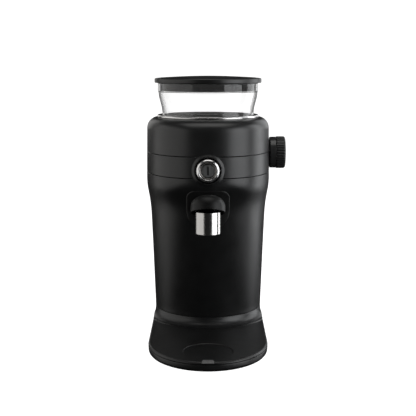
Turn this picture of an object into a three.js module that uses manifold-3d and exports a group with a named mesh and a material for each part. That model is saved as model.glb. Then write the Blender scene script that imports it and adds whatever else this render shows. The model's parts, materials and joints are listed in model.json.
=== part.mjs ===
// A conical burr coffee grinder, as an assembly of separate pieces. Millimetres, +Z up.
// The front faces -Y and the grind knob is on +X. The pieces are drawn about the burr axis, x = 0, y = 0,
// and the whole grinder is then moved so that the middle of its footprint is at the origin.
import * as THREE from 'three';
import { mergeVertices } from 'three/addons/utils/BufferGeometryUtils.js';
import Module from 'manifold-3d';

const kernel = await Module();
kernel.setup();

// ---- Driving dimensions ----

const gap = 0.3; // kept between neighbouring pieces
const seam = 0.4; // open line between two outer shells
const wall = 2.6;
const planSteps = 32; // points round a shell
const roundSteps = 22;
const smallSteps = 10;
const bearingSteps = 14;
const hopperSteps = 30;
const clearOut = 130; // holes in the shells are cut from here, outside them,
const clearIn = 50; // to here, inside them
const underFloor = -5; // cutting rods that come up from below start here

// Outer body: one section per height, each two half ovals meeting at their widest line.
const backY = 80;
const bodySections = [
  { z: 22.9, half: 66.2, front: -35, widest: 33.5, power: 2 },
  { z: 100, half: 67.8, front: -61, widest: 18, power: 2.1 },
  { z: 148, half: 68.9, front: -77.2, widest: 8.5, power: 2.2 },
  { z: 160, half: 69.9, front: -81.3, widest: 6.5, power: 2.2 },
  { z: 170, half: 71.2, front: -85.3, widest: 4.5, power: 2.25 },
  { z: 176, half: 72.2, front: -88.8, widest: 3, power: 2.3 },
  { z: 182, half: 73, front: -93, widest: 1.5, power: 2.3 },
  { z: 186, half: 73.1, front: -95.8, widest: 0.5, power: 2.3 },
  { z: 190, half: 73.1, front: -97, widest: 0, power: 2.3 },
  { z: 248.8, half: 72.3, front: -96.6, widest: 0, power: 2.3 },
];
const lowerSeamZ = 198;
const upperSeamZ = 222;
const deckZ = 260.8;
const shoulder = 12;

// Base slab and tray.
const slab = { half: 67.7, front: -169.5, frontCentre: -93, backCentre: 34, back: 80.5, power: 2 };
const slabBottomZ = 1.5;
const rimTopZ = 9.4;
const trayTopZ = 12.6;
const trayChamfer = 1.5;
const footZ = 22.6;
const footFillet = footZ - trayTopZ;
const footSpread = footFillet - 2 * gap;
const traySeam = { radius: 78.5, y: 33.5 };
const cupRecess = { radius: 27.7, depth: 0.8 };
const tabStand = 0.2; // how far the lifting tab stands above the tray
const cavityInset = 3.4; // of the slab's hollow underside

// Underside: a cover on four bosses, and four feet.
const coverBottomZ = 2.4;
const coverTopZ = 4.4;
const screwRadius = 1.6;
const boltSpots = [[-54, -48], [54, -48], [-54, -100], [54, -100]];
const footSpots = [[-44, -124], [44, -124], [-44, 52], [44, 52]];
const footNames = ['foot_front_left', 'foot_front_right', 'foot_rear_left', 'foot_rear_right'];

// Spout.
const spoutY = -132;
const chuteZ = 167;
const chuteBore = 7.5;
const chuteWall = 1.8;
const chuteWay = chuteBore + chuteWall + gap;
const chuteEndY = 116;
const tube = { radius: 13.6, wall: 1.2, bottom: 144, top: 168 };
const hood = { radius: 18.7, wall: 2.1, height: 18, dome: 12, tiltDegrees: 22, mouthZ: 166 };
const coverThickness = 1.2;

// Hopper.
const neckRadius = 54.4;
const hopperWall = 2.2;
const hopperTopZ = 300.5;
const collarRadius = 59.6;
const collarZ = 291;
const throatRadius = 22.2;
const throatBottomZ = 226.5;
const floorEdgeZ = 254.8; // underside of the throat's funnel where it meets the hopper's wall
const guard = { bottom: 229, top: 232 };
const lidRadius = 63.5;
const lidUnderZ = 301.2;

// Power button, on the front of the head.
const buttonZ = 207.2;
const buttonFaceY = -97;
const bossRadius = 16.5;
const bossStand = 2.5;
const bezel = { radius: 13, inner: 9.8 };
const buttonRadius = 7.1;

// Grind setting: a pinion on the knob's shaft turns a crown gear round the burr axis.
const knobZ = 218.2;
const knobRadius = 19.1;
const knobStartX = 73.8;
const knobEndX = 92.4;
const knobShaft = 2.5;
const pinionTeeth = 12;
const crownTeeth = 60;
const adjustModule = 1.25;
const crownFace = { inner: 34.5, outer: 40.5 };
const crownPitchZ = knobZ - (pinionTeeth * adjustModule) / 2;

// Burrs.
const chamber = { inner: 30.4, outer: 34, floorZ: 159.5, topZ: 204.5 };
const coneFootZ = 178;
const coneBottom = { z: 184, radius: 19.3 };
const coneMiddleZ = 195;
const coneTop = { z: 206, radius: 10.5 };
const burrTopZ = 211.5;
const ringBurr = { outer: 26, bottom: 182, top: 206 };
const burrRidges = 12;

// Drive: burr shaft at the origin, an idler beside it and the motor behind.
const shaftRadius = 4;
const shaftBore = shaftRadius + gap;
const pinRadius = 2;
const pinBore = pinRadius + gap;
const lowerBearingRadius = 8;
const upperBearingRadius = 11;
const motorY = 22;
const outputGear = { teeth: 30, module: 1.5, bottom: 139.5, height: 7.5 };
const idlerPinion = { teeth: 10, module: 1.5, bottom: 138.3, height: 9.7 };
const idlerWheel = { teeth: 30, module: 1.25, bottom: 131.5, height: 6 };
const motorGear = { teeth: 10, module: 1.25, bottom: 131, height: 7 };
const caseCentre = { x: 10, y: 8 };
const caseRadius = 41.5;
const caseBottomZ = 126;
const caseTopZ = 153;
const motor = { radius: 29, bottom: 58, top: 124 };

// Cord gland, in the back of the column.
const glandZ = 36;
const glandNeck = 6;

// ---- Finishes ----

function finish(color, roughness, metalness, opacity = 1) {
  return new THREE.MeshStandardMaterial({
    color,
    roughness,
    metalness,
    opacity,
    transparent: opacity < 1,
  });
}

const shellBlack = finish(0x1b1c1e, 0.45, 0);
const trimBlack = finish(0x141415, 0.5, 0);
const rubberBlack = finish(0x101010, 0.8, 0);
const clear = finish(0xf4f6f8, 0.05, 0, 0.3);
const chrome = finish(0xd8d8d6, 0.12, 1);
const darkMetal = finish(0x3a3a3c, 0.35, 1);
const steel = finish(0x9a9b9d, 0.3, 1);
const brass = finish(0xb08d4a, 0.35, 1);
const nylon = finish(0xd9d4c4, 0.6, 0);
const tabGrey = finish(0x707173, 0.5, 0);
const boardGreen = finish(0x1f4d33, 0.6, 0);

// ---- Solids ----

// A closed solid from a three.js geometry: shared vertices are merged and its faces point out.
function solid(geometry) {
  const bare = new THREE.BufferGeometry();
  bare.setAttribute('position', geometry.attributes.position.clone());
  if (geometry.index) {
    bare.setIndex(geometry.index.clone());
  }
  const welded = mergeVertices(bare, 1e-4);
  const place = welded.attributes.position;
  const index = welded.index.array;
  const corner = [0, 1, 2].map(() => new THREE.Vector3());
  const triangles = [];
  let volume = 0;
  for (let i = 0; i < index.length; i += 3) {
    const [a, b, c] = [index[i], index[i + 1], index[i + 2]];
    if (a === b || b === c || a === c) {
      continue;
    }
    [a, b, c].forEach((vertex, n) => corner[n].fromBufferAttribute(place, vertex));
    volume += corner[0].dot(corner[1].clone().cross(corner[2]));
    triangles.push([a, b, c]);
  }
  const facing = volume < 0 ? triangles.map(([a, b, c]) => [a, c, b]) : triangles;
  return new kernel.Manifold(new kernel.Mesh({
    numProp: 3,
    vertProperties: new Float32Array(place.array),
    triVerts: new Uint32Array(facing.flat()),
  }));
}

function cut(body, ...tools) {
  return tools.reduce((left, tool) => left.subtract(tool), body);
}

function join(body, ...others) {
  return others.reduce((whole, other) => whole.add(other), body);
}

// A skin through rings of equal length: the last ring meets the first, or both ends are capped.
function loft(rings, looped) {
  const count = rings[0].length;
  const points = rings.flat();
  const index = [];
  const spans = looped ? rings.length : rings.length - 1;
  for (let r = 0; r < spans; r++) {
    const here = r * count;
    const there = ((r + 1) % rings.length) * count;
    for (let i = 0; i < count; i++) {
      const next = (i + 1) % count;
      index.push(here + i, here + next, there + next, here + i, there + next, there + i);
    }
  }
  if (!looped) {
    capRing(points, index, 0, count, true);
    capRing(points, index, (rings.length - 1) * count, count, false);
  }
  const geometry = new THREE.BufferGeometry().setFromPoints(points);
  geometry.setIndex(index);
  return solid(geometry);
}

function capRing(points, index, start, count, reversed) {
  const middle = new THREE.Vector3();
  for (let i = 0; i < count; i++) {
    middle.addScaledVector(points[start + i], 1 / count);
  }
  points.push(middle);
  for (let i = 0; i < count; i++) {
    const [a, b] = [start + i, start + ((i + 1) % count)];
    index.push(points.length - 1, ...(reversed ? [b, a] : [a, b]));
  }
}

// A turned piece about +Z from [radius, z] points; the profile closes on itself or runs axis to axis.
function turned(profile, steps = roundSteps) {
  const onAxis = profile[0][0] === 0 && profile[profile.length - 1][0] === 0;
  const points = (onAxis ? profile : [...profile, profile[0]]).map(([r, z]) => new THREE.Vector2(r, z));
  return solid(new THREE.LatheGeometry(points, steps).rotateX(Math.PI / 2));
}

function rod(radius, bottom, top, steps = roundSteps) {
  return turned([[0, bottom], [radius, bottom], [radius, top], [0, top]], steps);
}

function pipe(inner, outer, bottom, top, steps = roundSteps) {
  return turned([[inner, bottom], [outer, bottom], [outer, top], [inner, top]], steps);
}

function block(x, y, z) {
  const [low, high] = [[x[0], y[0], z[0]], [x[1], y[1], z[1]]];
  const box = new THREE.BoxGeometry(...high.map((value, i) => value - low[i]));
  return solid(box.translate(...high.map((value, i) => (value + low[i]) / 2)));
}

function prism(outline, bottom, top) {
  const shape = new THREE.Shape(outline.map(([x, y]) => new THREE.Vector2(x, y)));
  const geometry = new THREE.ExtrudeGeometry(shape, { depth: top - bottom, bevelEnabled: false });
  return solid(geometry.translate(0, 0, bottom));
}

// The same rod, lying along Y from one y to another.
function rodAlongY(radius, fromY, toY, z, steps = roundSteps) {
  return rod(radius, -toY, -fromY, steps).rotate([90, 0, 0]).translate([0, 0, z]);
}

// Rods that cut a way through the front wall, or through the back wall.
function frontWay(radius, z, steps) {
  return rodAlongY(radius, -clearOut, -clearIn, z, steps);
}

function backWay(radius, z, steps) {
  return rodAlongY(radius, clearIn, clearOut, z, steps);
}

// ---- Outlines ----

function halfOval(plan, inset, angle) {
  const [cosine, sine] = [Math.cos(angle), Math.sin(angle)];
  const isFront = sine < 0;
  const centre = isFront ? plan.frontCentre : plan.backCentre;
  const reach = isFront ? centre - plan.front : plan.back - centre;
  const bulge = (value) => Math.sign(value) * Math.abs(value) ** (2 / plan.power);
  return [(plan.half - inset) * bulge(cosine), centre + (reach - inset) * bulge(sine)];
}

// A closed outline: the back half oval, then the front one, joined by straight sides.
function planOutline(plan, inset = 0) {
  const outline = [];
  for (const start of [0, Math.PI]) {
    for (let i = 0; i <= planSteps / 2; i++) {
      const angle = start + (Math.PI * i) / (planSteps / 2);
      const onSide = i === 0 || i === planSteps / 2;
      const centre = start === 0 ? plan.backCentre : plan.frontCentre;
      const side = (plan.half - inset) * Math.sign(Math.cos(angle));
      outline.push(onSide ? [side, centre] : halfOval(plan, inset, angle));
    }
  }
  return outline;
}

function planRing(plan, z, inset = 0) {
  return planOutline(plan, inset).map(([x, y]) => new THREE.Vector3(x, y, z));
}

function circleRing(radius, z) {
  const flat = { half: radius, front: -radius, frontCentre: 0, backCentre: 0, back: radius, power: 2 };
  return planRing(flat, z);
}

// The body's plan at any height, between the two sections that bracket it.
function bodyPlan(z) {
  const above = bodySections.findIndex((section) => section.z >= z);
  const upper = bodySections[above < 0 ? bodySections.length - 1 : above];
  const lower = bodySections[Math.max(0, bodySections.indexOf(upper) - 1)];
  const share = upper === lower ? 0 : (z - lower.z) / (upper.z - lower.z);
  const mix = (key) => THREE.MathUtils.lerp(lower[key], upper[key], Math.min(1, share));
  const widest = mix('widest');
  return {
    half: mix('half'),
    front: mix('front'),
    frontCentre: widest,
    backCentre: widest,
    back: backY,
    power: mix('power'),
  };
}

function bodyRings(bottom, top, inset) {
  const between = bodySections.map((section) => section.z).filter((z) => z > bottom && z < top);
  return [bottom, ...between, top].map((z) => planRing(bodyPlan(z), z, inset));
}

function bodyTube(bottom, top, outerInset, innerInset) {
  const inner = bodyRings(bottom, top, innerInset).reverse();
  return loft([...bodyRings(bottom, top, outerInset), ...inner], true);
}

// ---- Gears ----

// Half the angle that a tooth fills at a radius, from an involute flank.
function toothHalfAngle(teeth, module, radius) {
  const pressure = THREE.MathUtils.degToRad(20);
  const pitch = (teeth * module) / 2;
  const involute = (angle) => Math.tan(angle) - angle;
  const baseRadius = pitch * Math.cos(pressure);
  const here = Math.acos(Math.min(1, baseRadius / radius));
  const thickness = 0.42; // share of the circular pitch, so that meshed teeth keep clear
  return (Math.PI / teeth) * thickness + involute(pressure) - involute(here);
}

function gear(teeth, module, bottom, top, bore) {
  const pitch = (teeth * module) / 2;
  const [tip, root] = [pitch + 0.85 * module, pitch - 1.15 * module];
  const outline = [];
  for (let i = 0; i < teeth; i++) {
    const middle = (2 * Math.PI * i) / teeth;
    for (const [radius, side] of [[root, -1], [tip, -1], [tip, 1], [root, 1]]) {
      const angle = middle + side * toothHalfAngle(teeth, module, radius);
      outline.push([radius * Math.cos(angle), radius * Math.sin(angle)]);
    }
  }
  return cut(prism(outline, bottom, top), rod(bore, bottom - 1, top + 1, smallSteps));
}

// One crown tooth, standing on +Z at the middle of the face, wider with its radius.
function crownTooth() {
  const pitchHalf = 0.175 * Math.PI * adjustModule;
  const slope = Math.tan(THREE.MathUtils.degToRad(20));
  const [rise, drop] = [1.1, 1.8];
  const rings = [crownFace.inner, crownFace.outer].map((radius) => {
    const spread = radius / ((crownTeeth * adjustModule) / 2);
    const tipHalf = (pitchHalf - rise * slope) * spread;
    const rootHalf = (pitchHalf + drop * slope) * spread;
    return [[rootHalf, -drop], [tipHalf, rise], [-tipHalf, rise], [-rootHalf, -drop]].map(
      ([y, z]) => new THREE.Vector3(radius, y, crownPitchZ + z),
    );
  });
  return loft(rings, false);
}

// ---- Assembly ----

const grinder = new THREE.Group();
grinder.name = 'burr_grinder';

function add(name, body, material, position = [0, 0, 0], rotation = [0, 0, 0], parent = grinder) {
  const { vertProperties, triVerts } = body.getMesh();
  const geometry = new THREE.BufferGeometry();
  geometry.setAttribute('position', new THREE.BufferAttribute(vertProperties, 3));
  geometry.setIndex(new THREE.BufferAttribute(triVerts, 1));
  const mesh = new THREE.Mesh(geometry, material);
  mesh.name = name;
  mesh.position.set(...position);
  mesh.rotation.set(...rotation);
  parent.add(mesh);
}

// ---- Outer shells ----

function addMainHousing() {
  const top = lowerSeamZ - seam / 2;
  const holes = [
    frontWay(chuteWay, chuteZ, smallSteps),
    frontWay(bossRadius + seam, buttonZ),
    backWay(glandNeck + gap, glandZ, smallSteps),
  ];
  add('main_housing', cut(bodyTube(footZ + gap, top, 0, wall), ...holes), shellBlack);
}

function addMiddleBand() {
  const [bottom, top] = [lowerSeamZ + seam / 2, upperSeamZ - seam / 2];
  const belowSeam = block([-clearIn, clearIn], [-clearOut, -clearIn], [buttonZ - clearIn, top]);
  const disc = rodAlongY(bossRadius, buttonFaceY - bossStand, buttonFaceY + 5, buttonZ);
  const boss = disc.intersect(belowSeam);
  const bore = frontWay(bezel.radius + 1.2, buttonZ);
  const shaftHalf = knobShaft + 0.7;
  const shaftNotch = join(
    rod(shaftHalf, clearIn, clearOut, smallSteps).rotate([0, 90, 0]).translate([0, 0, knobZ]),
    block([clearIn, clearOut], [-shaftHalf, shaftHalf], [knobZ, upperSeamZ + shoulder]),
  );
  add('middle_band', cut(join(bodyTube(bottom, top, 0, wall), boss), bore, shaftNotch), shellBlack);
}

function shoulderRings(inset) {
  const start = deckZ - shoulder;
  return [0, 0.25, 0.5, 0.75, 1].map((share) => {
    const angle = (share * Math.PI) / 2;
    const radius = shoulder - inset;
    const pull = shoulder - radius * Math.cos(angle);
    return planRing(bodyPlan(start), start + radius * Math.sin(angle), pull);
  });
}

function addTopShell() {
  const bottom = upperSeamZ + seam / 2;
  const mouth = neckRadius + 2.1;
  const outer = [planRing(bodyPlan(bottom), bottom), ...shoulderRings(0), circleRing(mouth, deckZ)];
  const inner = [
    circleRing(mouth, deckZ - wall),
    ...shoulderRings(wall).reverse(),
    planRing(bodyPlan(bottom), bottom, wall),
  ];
  add('top_shell', loft([...outer, ...inner], true), shellBlack);
}

// ---- Base and tray ----

function slabBlank(bottom, top) {
  return prism(planOutline(slab), bottom, top);
}

function traySeamRod(extra) {
  return rod(traySeam.radius + extra, underFloor, clearOut, 52).translate([0, traySeam.y, 0]);
}

// The slab's top layer, with its upper edge chamfered.
function topLayer(bottom) {
  const rings = [
    planRing(slab, bottom),
    planRing(slab, trayTopZ - trayChamfer),
    planRing(slab, trayTopZ, trayChamfer),
  ];
  return loft(rings, false);
}

// The foot of the column, spreading forwards in a hollow curve that fades out at the sides.
function pedestal() {
  const foot = bodyPlan(footZ);
  const plainRing = planRing(foot, 0);
  const spreadRing = (z, spread) => planRing(foot, z, -spread).map((point, i) => {
    const share = THREE.MathUtils.clamp((foot.frontCentre - plainRing[i].y) / 20, 0, 1);
    return plainRing[i].clone().setZ(z).lerp(point, share);
  });
  const curve = [0, 0.33, 0.67, 1].map((share) => {
    const angle = (share * Math.PI) / 2;
    return spreadRing(footZ - footFillet * Math.cos(angle), footSpread * (1 - Math.sin(angle)));
  });
  return loft([spreadRing(rimTopZ, footSpread), ...curve], false).intersect(slabBlank(0, footZ + 1));
}

function atSpots(spots, body) {
  return spots.map(([x, y]) => body.translate([x, y, 0]));
}

function addBase() {
  const underside = [
    planRing(slab, slabBottomZ, 2.4),
    planRing(slab, slabBottomZ + 2, 0.6),
    planRing(slab, rimTopZ - 1.5),
    planRing(slab, rimTopZ, 0.2),
  ];
  const skin = rimTopZ - wall;
  const cavity = prism(planOutline(slab, cavityInset), underFloor, skin);
  const columnWay = prism(planOutline(bodyPlan(footZ), 5), skin - 1, footZ + 1);
  const bosses = atSpots(boltSpots, rod(4.5, coverTopZ + gap, skin + 1, smallSteps));
  const threads = atSpots(boltSpots, rod(screwRadius + gap, underFloor, rimTopZ - 1, smallSteps));
  const hollow = cut(loft(underside, false), cavity);
  const raised = topLayer(rimTopZ - 0.2).intersect(traySeamRod(-gap));
  add('base', cut(join(hollow, raised, pedestal(), ...bosses), columnWay, ...threads), shellBlack);
}

// The lifting tab's outline from above, grown on every side: it widens towards the tray's front edge.
function tabOutline(growth) {
  const [frontHalf, backHalf] = [6.6 + growth, 5.2 + growth];
  const [frontY, rearY] = [slab.front - 1, slab.front + 7.5 + growth];
  return [[-frontHalf, frontY], [frontHalf, frontY], [backHalf, rearY], [-backHalf, rearY]];
}

function addTray() {
  const tabBottomZ = trayTopZ - 1.6;
  const pocket = prism(tabOutline(gap), tabBottomZ - gap, trayTopZ + 1);
  const recess = rod(cupRecess.radius, trayTopZ - cupRecess.depth, trayTopZ + 1, 34);
  const recessHere = recess.translate([0, spoutY, 0]);
  add('tray_plate', cut(topLayer(rimTopZ + gap), traySeamRod(0), recessHere, pocket), shellBlack);
  const tab = prism(tabOutline(0), tabBottomZ, trayTopZ + 1);
  add('tray_tab', tab.intersect(topLayer(rimTopZ).translate([0, 0, tabStand])), tabGrey);
}

function addUnderside() {
  const footStem = 3;
  const screwHoles = atSpots(boltSpots, rod(screwRadius + gap, underFloor, rimTopZ, smallSteps));
  const footHoles = atSpots(footSpots, rod(footStem + gap, underFloor, rimTopZ, smallSteps));
  const plate = prism(planOutline(slab, cavityInset + gap), coverBottomZ, coverTopZ);
  add('bottom_cover', cut(plate, ...screwHoles, ...footHoles), trimBlack);
  const under = coverBottomZ - gap;
  const foot = turned([
    [0, 0],
    [8.4, 0],
    [9, 0.6],
    [9, under],
    [footStem, under],
    [footStem, 5.4],
    [0, 5.4],
  ], bearingSteps);
  footSpots.forEach(([x, y], i) => add(footNames[i], foot, rubberBlack, [x, y, 0]));
  const screwProfile = [[0, 0.8], [3, 0.8], [3, under], [screwRadius, under], [screwRadius, 8], [0, 8]];
  const screw = turned(screwProfile, smallSteps);
  boltSpots.forEach(([x, y], i) => add(`cover_screw_${i + 1}`, screw, steel, [x, y, 0]));
}

// ---- Spout ----

// The shield-shaped plate that covers the chute's way through the column.
function addChuteCover() {
  const [half, bottom, top, corner] = [24.2, 135.6, 184, 9];
  const shield = new THREE.Shape();
  shield.moveTo(half, bottom + half);
  shield.lineTo(half, top - corner);
  shield.absarc(half - corner, top - corner, corner, 0, Math.PI / 2);
  shield.lineTo(corner - half, top);
  shield.absarc(corner - half, top - corner, corner, Math.PI / 2, Math.PI);
  shield.lineTo(-half, bottom + half);
  shield.absarc(0, bottom + half, half, Math.PI, 2 * Math.PI);
  const outline = shield.getPoints(6).map(({ x, y }) => [x, y]);
  const stamp = prism(outline, clearIn, clearOut).rotate([90, 0, 0]);
  const skin = bodyTube(bottom - 5, top + 5, -gap - coverThickness, -gap);
  add('chute_cover', cut(skin.intersect(stamp), frontWay(chuteWay, chuteZ, smallSteps)), trimBlack);
}

// A slanted cap over the tube, carried on an oval neck that comes out of the column.
function hoodBody() {
  const { radius, wall: skin, height, dome, tiltDegrees, mouthZ } = hood;
  const profile = [[0, 0], [radius, 0], [radius, height - dome]];
  for (let i = 1; i < 5; i++) {
    const angle = (i / 5) * (Math.PI / 2);
    profile.push([radius - dome * (1 - Math.cos(angle)), height - dome * (1 - Math.sin(angle))]);
  }
  profile.push([radius - dome, height], [0, height + 0.6]);
  const place = (body) => body.rotate([-tiltDegrees, 0, 0]).translate([0, spoutY, mouthZ]);
  const bore = turned([
    [0, -20],
    [radius - skin, -20],
    [radius - skin, height - dome],
    [radius - dome, height - skin],
    [0, height - skin],
  ]);
  const neck = loft([-70, spoutY + 22, spoutY + 10].map((y) => neckRing(y)), false);
  const neckBore = rodAlongY(chuteWay, spoutY + 4, -clearIn, chuteZ, smallSteps);
  const column = loft(bodyRings(130, 196, -coverThickness - 2 * gap), false);
  const tubeWay = rod(tube.radius + gap, tube.bottom - 5, tube.top + gap).translate([0, spoutY, 0]);
  return cut(join(place(turned(profile)), neck), place(bore), neckBore, column, tubeWay);
}

function neckRing(y) {
  const [halfWidth, halfHeight, steps] = [15.5, 13, 18];
  return Array.from({ length: steps }, (_, i) => {
    const angle = (2 * Math.PI * i) / steps;
    return new THREE.Vector3(halfWidth * Math.cos(angle), y, chuteZ - 1.3 + halfHeight * Math.sin(angle));
  });
}

function addSpout() {
  add('spout_hood', hoodBody(), trimBlack);
  // The back of the tube is open to the chute, which ends just inside it.
  const backDoor = rodAlongY(chuteWay, 0, 2 * tube.radius, chuteZ, smallSteps);
  const pipeBody = pipe(tube.radius - tube.wall, tube.radius, tube.bottom, tube.top);
  add('spout_tube', cut(pipeBody, backDoor), chrome, [0, spoutY, 0]);
  const chute = pipe(chuteBore, chuteBore + chuteWall, chamber.inner + 1.1, chuteEndY, smallSteps);
  add('chute', chute, trimBlack, [0, 0, chuteZ], [Math.PI / 2, 0, 0]);
}

// ---- Power button ----

// Each of these is turned about the button's axis, with +Z of the profile facing the front.
function addButton() {
  const place = [0, buttonFaceY, buttonZ];
  const face = [Math.PI / 2, 0, 0];
  const { radius, inner } = bezel;
  const ring = [
    [inner, -8],
    [radius, -8],
    [radius, 2.2],
    [radius - 0.9, 3.8],
    [inner + 0.8, 4.7],
    [inner, 4.4],
  ];
  add('button_bezel', turned(ring, 26), chrome, place, face);
  const collar = turned([[8, -7], [9.4, -7], [9.4, 3.2], [8.9, 3.7], [8, 3.5]]);
  add('button_collar', collar, darkMetal, place, face);
  const disc = turned([
    [0, -5],
    [buttonRadius, -5],
    [buttonRadius, 2.5],
    [buttonRadius - 0.4, 2.9],
    [0, 2.9],
  ]);
  add('power_button', cut(disc, block([-1, 1], [-5, 5], [2.3, 4])), darkMetal, place, face);
  add('button_spring', buttonSpring(), steel, place, face);
  const body = block([-7, 7], [-6, 6], [-24, -12.5]);
  const plunger = rod(2.2, -13, -7.3, smallSteps);
  add('button_switch', join(body, plunger), trimBlack, place, face);
}

function buttonSpring() {
  const [turns, radius, from, to] = [4, 4.4, -12, -5.7];
  const points = [];
  for (let i = 0; i <= turns * 8; i++) {
    const angle = (i / 8) * 2 * Math.PI;
    const z = THREE.MathUtils.lerp(from, to, i / (turns * 8));
    points.push(new THREE.Vector3(radius * Math.cos(angle), radius * Math.sin(angle), z));
  }
  const wire = new THREE.Shape();
  wire.absarc(0, 0, 0.35, 0, 2 * Math.PI);
  const path = new THREE.CatmullRomCurve3(points);
  return solid(new THREE.ExtrudeGeometry(wire, {
    steps: turns * 8,
    extrudePath: path,
    bevelEnabled: false,
    curveSegments: 3,
  }));
}

// ---- Hopper and lid ----

function addHopper() {
  const outer = [
    [neckRadius, floorEdgeZ],
    [neckRadius, 267],
    [55.6, 274.6],
    [57.8, 282.8],
    [59.1, collarZ - 0.4],
    [collarRadius, collarZ],
    [collarRadius, hopperTopZ],
  ];
  const inner = outer.map(([radius, z]) => [radius - hopperWall, z]).reverse();
  add('hopper', turned([...outer, ...inner], hopperSteps), clear);
}

// The hopper's funnel-shaped floor with its round throat, and the finger guard across it.
function addThroat() {
  const edge = neckRadius - hopperWall - gap;
  const outside = throatRadius + hopperWall;
  const floorStartZ = 236;
  const floor = [
    [throatRadius, throatBottomZ],
    [outside, throatBottomZ],
    [outside, floorStartZ],
    [edge, floorEdgeZ],
    [edge, floorEdgeZ + 2.9],
    [throatRadius, floorStartZ + 1.4],
  ];
  add('hopper_throat', turned(floor, hopperSteps), clear);
  const { bottom, top } = guard;
  const hub = rod(3, bottom, top, smallSteps);
  const bar = block([-20.5, 20.5], [-1.2, 1.2], [bottom, top]);
  const bars = [0, 60, 120].map((angle) => bar.rotate([0, 0, angle]));
  add('finger_guard', join(pipe(19.6, throatRadius - gap, bottom, top), hub, ...bars), trimBlack);
}

function addHopperSeat() {
  const [inner, outer] = [neckRadius + 0.8, 60.6];
  const ring = [
    [inner, deckZ - 2],
    [inner + 1, deckZ - 2],
    [inner + 1, deckZ + gap],
    [outer, deckZ + gap],
    [outer, deckZ + 1.6],
    [outer - 1.2, deckZ + 2.9],
    [inner, deckZ + 2.9],
  ];
  add('hopper_ring', turned(ring, hopperSteps), chrome);
  add('hopper_lock_ring', pipe(neckRadius + 0.6, 58.5, 252, 257.5), nylon);
  const funnel = [
    [26, 224],
    [28.2, 224],
    [28.2, 232.4],
    [52, 248.7],
    [57, 248.7],
    [57, 251],
    [52, 251],
    [26, 233.2],
  ];
  add('feed_funnel', turned(funnel), trimBlack);
}

function addLid() {
  const rim = 5.3;
  const top = lidUnderZ + rim;
  const lid = [
    [0, lidUnderZ + 2.2],
    [58, lidUnderZ + 2.2],
    [58, lidUnderZ],
    [lidRadius - 0.6, lidUnderZ],
    [lidRadius, lidUnderZ + 0.7],
    [lidRadius, top - 0.8],
    [lidRadius - 0.8, top],
    [48, top + 1.2],
    [25, top + 2.3],
    [0, top + 2.7],
  ];
  add('hopper_lid', turned(lid, hopperSteps), trimBlack);
  const plug = collarRadius - hopperWall - 0.6;
  const seal = [
    [0, hopperTopZ - 1.5],
    [plug - 2.6, hopperTopZ - 1.5],
    [plug - 2.6, collarZ + 0.5],
    [plug, collarZ + 0.5],
    [plug, lidUnderZ + 1.9],
    [0, lidUnderZ + 1.9],
  ];
  add('lid_seal', turned(seal, hopperSteps), rubberBlack);
}

// ---- Grind setting ----

// The knob's pieces are turned about its shaft: +Z of the profile points to +X.
function addKnob() {
  const knob = new THREE.Group();
  knob.position.z = knobZ;
  knob.rotation.y = Math.PI / 2;
  grinder.add(knob);
  const skirtEnd = 81;
  const hub = 14;
  const bore = knobShaft + gap;
  const core = [
    [bore, knobStartX],
    [knobRadius - 0.8, knobStartX],
    [knobRadius - 0.5, knobStartX + 0.5],
    [knobRadius - 0.5, skirtEnd],
    [hub, skirtEnd],
    [hub, knobEndX - 2.2],
    [bore, knobEndX - 2.2],
  ];
  const here = [[0, 0, 0], [0, 0, 0], knob];
  add('knob_core', turned(core), trimBlack, ...here);
  add('knob_grip', knobGrip(skirtEnd + gap, hub + gap), trimBlack, ...here);
  add('knob_shaft', rod(knobShaft, crownFace.inner - 1.5, knobEndX - 2.6, smallSteps), steel, ...here);
  const pinion = gear(pinionTeeth, adjustModule, crownFace.inner - 0.5, crownFace.outer + 0.5, bore);
  add('knob_pinion', pinion, brass, ...here);
  add('knob_bush', pipe(bore, 6.5, 60, 68, smallSteps), brass, ...here);
}

function knobGrip(start, bore) {
  const ribs = 36;
  const depth = 0.9;
  const outline = [];
  for (let i = 0; i < ribs * 2; i++) {
    const angle = (Math.PI * i) / ribs;
    const radius = i % 2 ? knobRadius - depth : knobRadius;
    outline.push([radius * Math.cos(angle), radius * Math.sin(angle)]);
  }
  const envelope = turned([
    [0, start - 1],
    [knobRadius + 1, start - 1],
    [knobRadius + 1, knobEndX - 2.6],
    [knobRadius - 0.7, knobEndX - 0.8],
    [knobRadius - 2.2, knobEndX],
    [0, knobEndX],
  ]);
  const blank = prism(outline, start, knobEndX + 1).intersect(envelope);
  return cut(blank, rod(bore, start - 1, knobEndX - 1.7));
}

function addAdjuster() {
  const rootZ = crownPitchZ - 1.5;
  const base = pipe(chamber.inner + 0.6, 43, chamber.topZ + gap, rootZ);
  const sector = 8; // teeth each side of the knob, as far as the ring ever turns
  const teeth = [];
  for (let i = -sector; i <= sector; i++) {
    teeth.push(crownTooth().rotate([0, 0, ((i + 0.5) * 360) / crownTeeth]));
  }
  add('adjust_ring', join(base, ...teeth), brass);
}

// ---- Burrs ----

// A ridged ring: the ridges lean as they climb.
function ridgedRing(radius, z, depth) {
  const count = burrRidges * 4;
  const lean = ((z - coneBottom.z) / (coneTop.z - coneBottom.z)) * 0.6;
  return Array.from({ length: count }, (_, i) => {
    const angle = (2 * Math.PI * i) / count;
    const r = radius * (1 + depth * Math.cos((i * Math.PI) / 2));
    return new THREE.Vector3(r * Math.cos(angle + lean), r * Math.sin(angle + lean), z);
  });
}

function coneRadius(z) {
  const share = (z - coneBottom.z) / (coneTop.z - coneBottom.z);
  return THREE.MathUtils.lerp(coneBottom.radius, coneTop.radius, share);
}

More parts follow.
